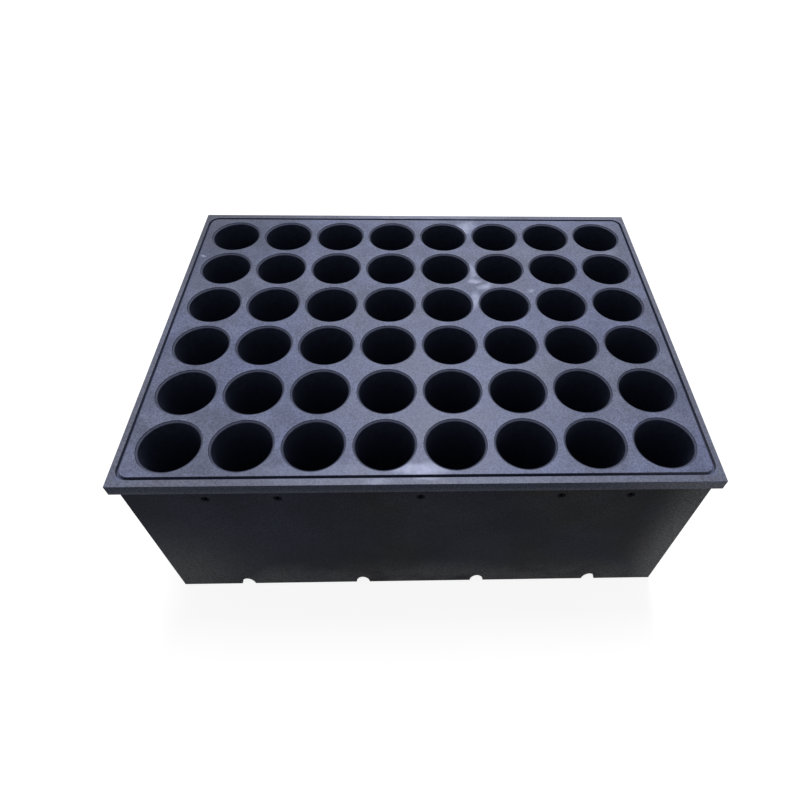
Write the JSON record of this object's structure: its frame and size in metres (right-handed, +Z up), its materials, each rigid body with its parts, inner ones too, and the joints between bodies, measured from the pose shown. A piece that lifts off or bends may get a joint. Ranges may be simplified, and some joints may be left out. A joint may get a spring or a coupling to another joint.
{
  "type": "plug tray",
  "caption": "Rigid deep-cell plug tray: thick bored deck with a flange and rim groove, screwed skirt panels with foot notches, and a lift-out round cup in every cell.",
  "frame": {"origin": "on the bench, under the middle of the tray", "axes": "+X along the long side, +Y to the rear, +Z up out of the cells"},
  "size_m": [0.4, 0.3046, 0.158],
  "materials": {
    "deck": "satin, machined top face with a blue-grey sheen",
    "panel": "fine matte grain, charcoal black",
    "cup": "matte black with a satin lip",
    "screw": "black oxide steel"
  },
  "bodies": {
    "tray": {"deck_plate": "deck", "core_plate": "deck", "front_panel": "panel", "rear_panel": "panel", "left_panel": "panel", "right_panel": "panel", "panel_screws": "screw", "corner_cleat_front_left": "panel", "corner_cleat_front_right": "panel", "corner_cleat_rear_left": "panel", "corner_cleat_rear_right": "panel"},
    "cup_r1_c1": {"cell_cup_r1_c1": "cup"},
    "cup_r1_c2": {"cell_cup_r1_c2": "cup"},
    "cup_r1_c3": {"cell_cup_r1_c3": "cup"},
    "cup_r1_c4": {"cell_cup_r1_c4": "cup"},
    "cup_r1_c5": {"cell_cup_r1_c5": "cup"},
    "cup_r1_c6": {"cell_cup_r1_c6": "cup"},
    "cup_r1_c7": {"cell_cup_r1_c7": "cup"},
    "cup_r1_c8": {"cell_cup_r1_c8": "cup"},
    "cup_r2_c1": {"cell_cup_r2_c1": "cup"},
    "cup_r2_c2": {"cell_cup_r2_c2": "cup"},
    "cup_r2_c3": {"cell_cup_r2_c3": "cup"},
    "cup_r2_c4": {"cell_cup_r2_c4": "cup"},
    "cup_r2_c5": {"cell_cup_r2_c5": "cup"},
    "cup_r2_c6": {"cell_cup_r2_c6": "cup"},
    "cup_r2_c7": {"cell_cup_r2_c7": "cup"},
    "cup_r2_c8": {"cell_cup_r2_c8": "cup"},
    "cup_r3_c1": {"cell_cup_r3_c1": "cup"},
    "cup_r3_c2": {"cell_cup_r3_c2": "cup"},
    "cup_r3_c3": {"cell_cup_r3_c3": "cup"},
    "cup_r3_c4": {"cell_cup_r3_c4": "cup"},
    "cup_r3_c5": {"cell_cup_r3_c5": "cup"},
    "cup_r3_c6": {"cell_cup_r3_c6": "cup"},
    "cup_r3_c7": {"cell_cup_r3_c7": "cup"},
    "cup_r3_c8": {"cell_cup_r3_c8": "cup"},
    "cup_r4_c1": {"cell_cup_r4_c1": "cup"},
    "cup_r4_c2": {"cell_cup_r4_c2": "cup"},
    "cup_r4_c3": {"cell_cup_r4_c3": "cup"},
    "cup_r4_c4": {"cell_cup_r4_c4": "cup"},
    "cup_r4_c5": {"cell_cup_r4_c5": "cup"},
    "cup_r4_c6": {"cell_cup_r4_c6": "cup"},
    "cup_r4_c7": {"cell_cup_r4_c7": "cup"},
    "cup_r4_c8": {"cell_cup_r4_c8": "cup"},
    "cup_r5_c1": {"cell_cup_r5_c1": "cup"},
    "cup_r5_c2": {"cell_cup_r5_c2": "cup"},
    "cup_r5_c3": {"cell_cup_r5_c3": "cup"},
    "cup_r5_c4": {"cell_cup_r5_c4": "cup"},
    "cup_r5_c5": {"cell_cup_r5_c5": "cup"},
    "cup_r5_c6": {"cell_cup_r5_c6": "cup"},
    "cup_r5_c7": {"cell_cup_r5_c7": "cup"},
    "cup_r5_c8": {"cell_cup_r5_c8": "cup"},
    "cup_r6_c1": {"cell_cup_r6_c1": "cup"},
    "cup_r6_c2": {"cell_cup_r6_c2": "cup"},
    "cup_r6_c3": {"cell_cup_r6_c3": "cup"},
    "cup_r6_c4": {"cell_cup_r6_c4": "cup"},
    "cup_r6_c5": {"cell_cup_r6_c5": "cup"},
    "cup_r6_c6": {"cell_cup_r6_c6": "cup"},
    "cup_r6_c7": {"cell_cup_r6_c7": "cup"},
    "cup_r6_c8": {"cell_cup_r6_c8": "cup"}
  },
  "joints": [
    {"name": "lift_r1_c1", "type": "slide", "parent": "tray", "child": "cup_r1_c1", "axis": [0, 0, 1], "range_m": [0, 0.16]},
    {"name": "lift_r1_c2", "type": "slide", "parent": "tray", "child": "cup_r1_c2", "axis": [0, 0, 1], "range_m": [0, 0.16]},
    {"name": "lift_r1_c3", "type": "slide", "parent": "tray", "child": "cup_r1_c3", "axis": [0, 0, 1], "range_m": [0, 0.16]},
    {"name": "lift_r1_c4", "type": "slide", "parent": "tray", "child": "cup_r1_c4", "axis": [0, 0, 1], "range_m": [0, 0.16]},
    {"name": "lift_r1_c5", "type": "slide", "parent": "tray", "child": "cup_r1_c5", "axis": [0, 0, 1], "range_m": [0, 0.16]},
    {"name": "lift_r1_c6", "type": "slide", "parent": "tray", "child": "cup_r1_c6", "axis": [0, 0, 1], "range_m": [0, 0.16]},
    {"name": "lift_r1_c7", "type": "slide", "parent": "tray", "child": "cup_r1_c7", "axis": [0, 0, 1], "range_m": [0, 0.16]},
    {"name": "lift_r1_c8", "type": "slide", "parent": "tray", "child": "cup_r1_c8", "axis": [0, 0, 1], "range_m": [0, 0.16]},
    {"name": "lift_r2_c1", "type": "slide", "parent": "tray", "child": "cup_r2_c1", "axis": [0, 0, 1], "range_m": [0, 0.16]},
    {"name": "lift_r2_c2", "type": "slide", "parent": "tray", "child": "cup_r2_c2", "axis": [0, 0, 1], "range_m": [0, 0.16]},
    {"name": "lift_r2_c3", "type": "slide", "parent": "tray", "child": "cup_r2_c3", "axis": [0, 0, 1], "range_m": [0, 0.16]},
    {"name": "lift_r2_c4", "type": "slide", "parent": "tray", "child": "cup_r2_c4", "axis": [0, 0, 1], "range_m": [0, 0.16]},
    {"name": "lift_r2_c5", "type": "slide", "parent": "tray", "child": "cup_r2_c5", "axis": [0, 0, 1], "range_m": [0, 0.16]},
    {"name": "lift_r2_c6", "type": "slide", "parent": "tray", "child": "cup_r2_c6", "axis": [0, 0, 1], "range_m": [0, 0.16]},
    {"name": "lift_r2_c7", "type": "slide", "parent": "tray", "child": "cup_r2_c7", "axis": [0, 0, 1], "range_m": [0, 0.16]},
    {"name": "lift_r2_c8", "type": "slide", "parent": "tray", "child": "cup_r2_c8", "axis": [0, 0, 1], "range_m": [0, 0.16]},
    {"name": "lift_r3_c1", "type": "slide", "parent": "tray", "child": "cup_r3_c1", "axis": [0, 0, 1], "range_m": [0, 0.16]},
    {"name": "lift_r3_c2", "type": "slide", "parent": "tray", "child": "cup_r3_c2", "axis": [0, 0, 1], "range_m": [0, 0.16]},
    {"name": "lift_r3_c3", "type": "slide", "parent": "tray", "child": "cup_r3_c3", "axis": [0, 0, 1], "range_m": [0, 0.16]},
    {"name": "lift_r3_c4", "type": "slide", "parent": "tray", "child": "cup_r3_c4", "axis": [0, 0, 1], "range_m": [0, 0.16]},
    {"name": "lift_r3_c5", "type": "slide", "parent": "tray", "child": "cup_r3_c5", "axis": [0, 0, 1], "range_m": [0, 0.16]},
    {"name": "lift_r3_c6", "type": "slide", "parent": "tray", "child": "cup_r3_c6", "axis": [0, 0, 1], "range_m": [0, 0.16]},
    {"name": "lift_r3_c7", "type": "slide", "parent": "tray", "child": "cup_r3_c7", "axis": [0, 0, 1], "range_m": [0, 0.16]},
    {"name": "lift_r3_c8", "type": "slide", "parent": "tray", "child": "cup_r3_c8", "axis": [0, 0, 1], "range_m": [0, 0.16]},
    {"name": "lift_r4_c1", "type": "slide", "parent": "tray", "child": "cup_r4_c1", "axis": [0, 0, 1], "range_m": [0, 0.16]},
    {"name": "lift_r4_c2", "type": "slide", "parent": "tray", "child": "cup_r4_c2", "axis": [0, 0, 1], "range_m": [0, 0.16]},
    {"name": "lift_r4_c3", "type": "slide", "parent": "tray", "child": "cup_r4_c3", "axis": [0, 0, 1], "range_m": [0, 0.16]},
    {"name": "lift_r4_c4", "type": "slide", "parent": "tray", "child": "cup_r4_c4", "axis": [0, 0, 1], "range_m": [0, 0.16]},
    {"name": "lift_r4_c5", "type": "slide", "parent": "tray", "child": "cup_r4_c5", "axis": [0, 0, 1], "range_m": [0, 0.16]},
    {"name": "lift_r4_c6", "type": "slide", "parent": "tray", "child": "cup_r4_c6", "axis": [0, 0, 1], "range_m": [0, 0.16]},
    {"name": "lift_r4_c7", "type": "slide", "parent": "tray", "child": "cup_r4_c7", "axis": [0, 0, 1], "range_m": [0, 0.16]},
    {"name": "lift_r4_c8", "type": "slide", "parent": "tray", "child": "cup_r4_c8", "axis": [0, 0, 1], "range_m": [0, 0.16]},
    {"name": "lift_r5_c1", "type": "slide", "parent": "tray", "child": "cup_r5_c1", "axis": [0, 0, 1], "range_m": [0, 0.16]},
    {"name": "lift_r5_c2", "type": "slide", "parent": "tray", "child": "cup_r5_c2", "axis": [0, 0, 1], "range_m": [0, 0.16]},
    {"name": "lift_r5_c3", "type": "slide", "parent": "tray", "child": "cup_r5_c3", "axis": [0, 0, 1], "range_m": [0, 0.16]},
    {"name": "lift_r5_c4", "type": "slide", "parent": "tray", "child": "cup_r5_c4", "axis": [0, 0, 1], "range_m": [0, 0.16]},
    {"name": "lift_r5_c5", "type": "slide", "parent": "tray", "child": "cup_r5_c5", "axis": [0, 0, 1], "range_m": [0, 0.16]},
    {"name": "lift_r5_c6", "type": "slide", "parent": "tray", "child": "cup_r5_c6", "axis": [0, 0, 1], "range_m": [0, 0.16]},
    {"name": "lift_r5_c7", "type": "slide", "parent": "tray", "child": "cup_r5_c7", "axis": [0, 0, 1], "range_m": [0, 0.16]},
    {"name": "lift_r5_c8", "type": "slide", "parent": "tray", "child": "cup_r5_c8", "axis": [0, 0, 1], "range_m": [0, 0.16]},
    {"name": "lift_r6_c1", "type": "slide", "parent": "tray", "child": "cup_r6_c1", "axis": [0, 0, 1], "range_m": [0, 0.16]},
    {"name": "lift_r6_c2", "type": "slide", "parent": "tray", "child": "cup_r6_c2", "axis": [0, 0, 1], "range_m": [0, 0.16]},
    {"name": "lift_r6_c3", "type": "slide", "parent": "tray", "child": "cup_r6_c3", "axis": [0, 0, 1], "range_m": [0, 0.16]},
    {"name": "lift_r6_c4", "type": "slide", "parent": "tray", "child": "cup_r6_c4", "axis": [0, 0, 1], "range_m": [0, 0.16]},
    {"name": "lift_r6_c5", "type": "slide", "parent": "tray", "child": "cup_r6_c5", "axis": [0, 0, 1], "range_m": [0, 0.16]},
    {"name": "lift_r6_c6", "type": "slide", "parent": "tray", "child": "cup_r6_c6", "axis": [0, 0, 1], "range_m": [0, 0.16]},
    {"name": "lift_r6_c7", "type": "slide", "parent": "tray", "child": "cup_r6_c7", "axis": [0, 0, 1], "range_m": [0, 0.16]},
    {"name": "lift_r6_c8", "type": "slide", "parent": "tray", "child": "cup_r6_c8", "axis": [0, 0, 1], "range_m": [0, 0.16]}
  ]
}
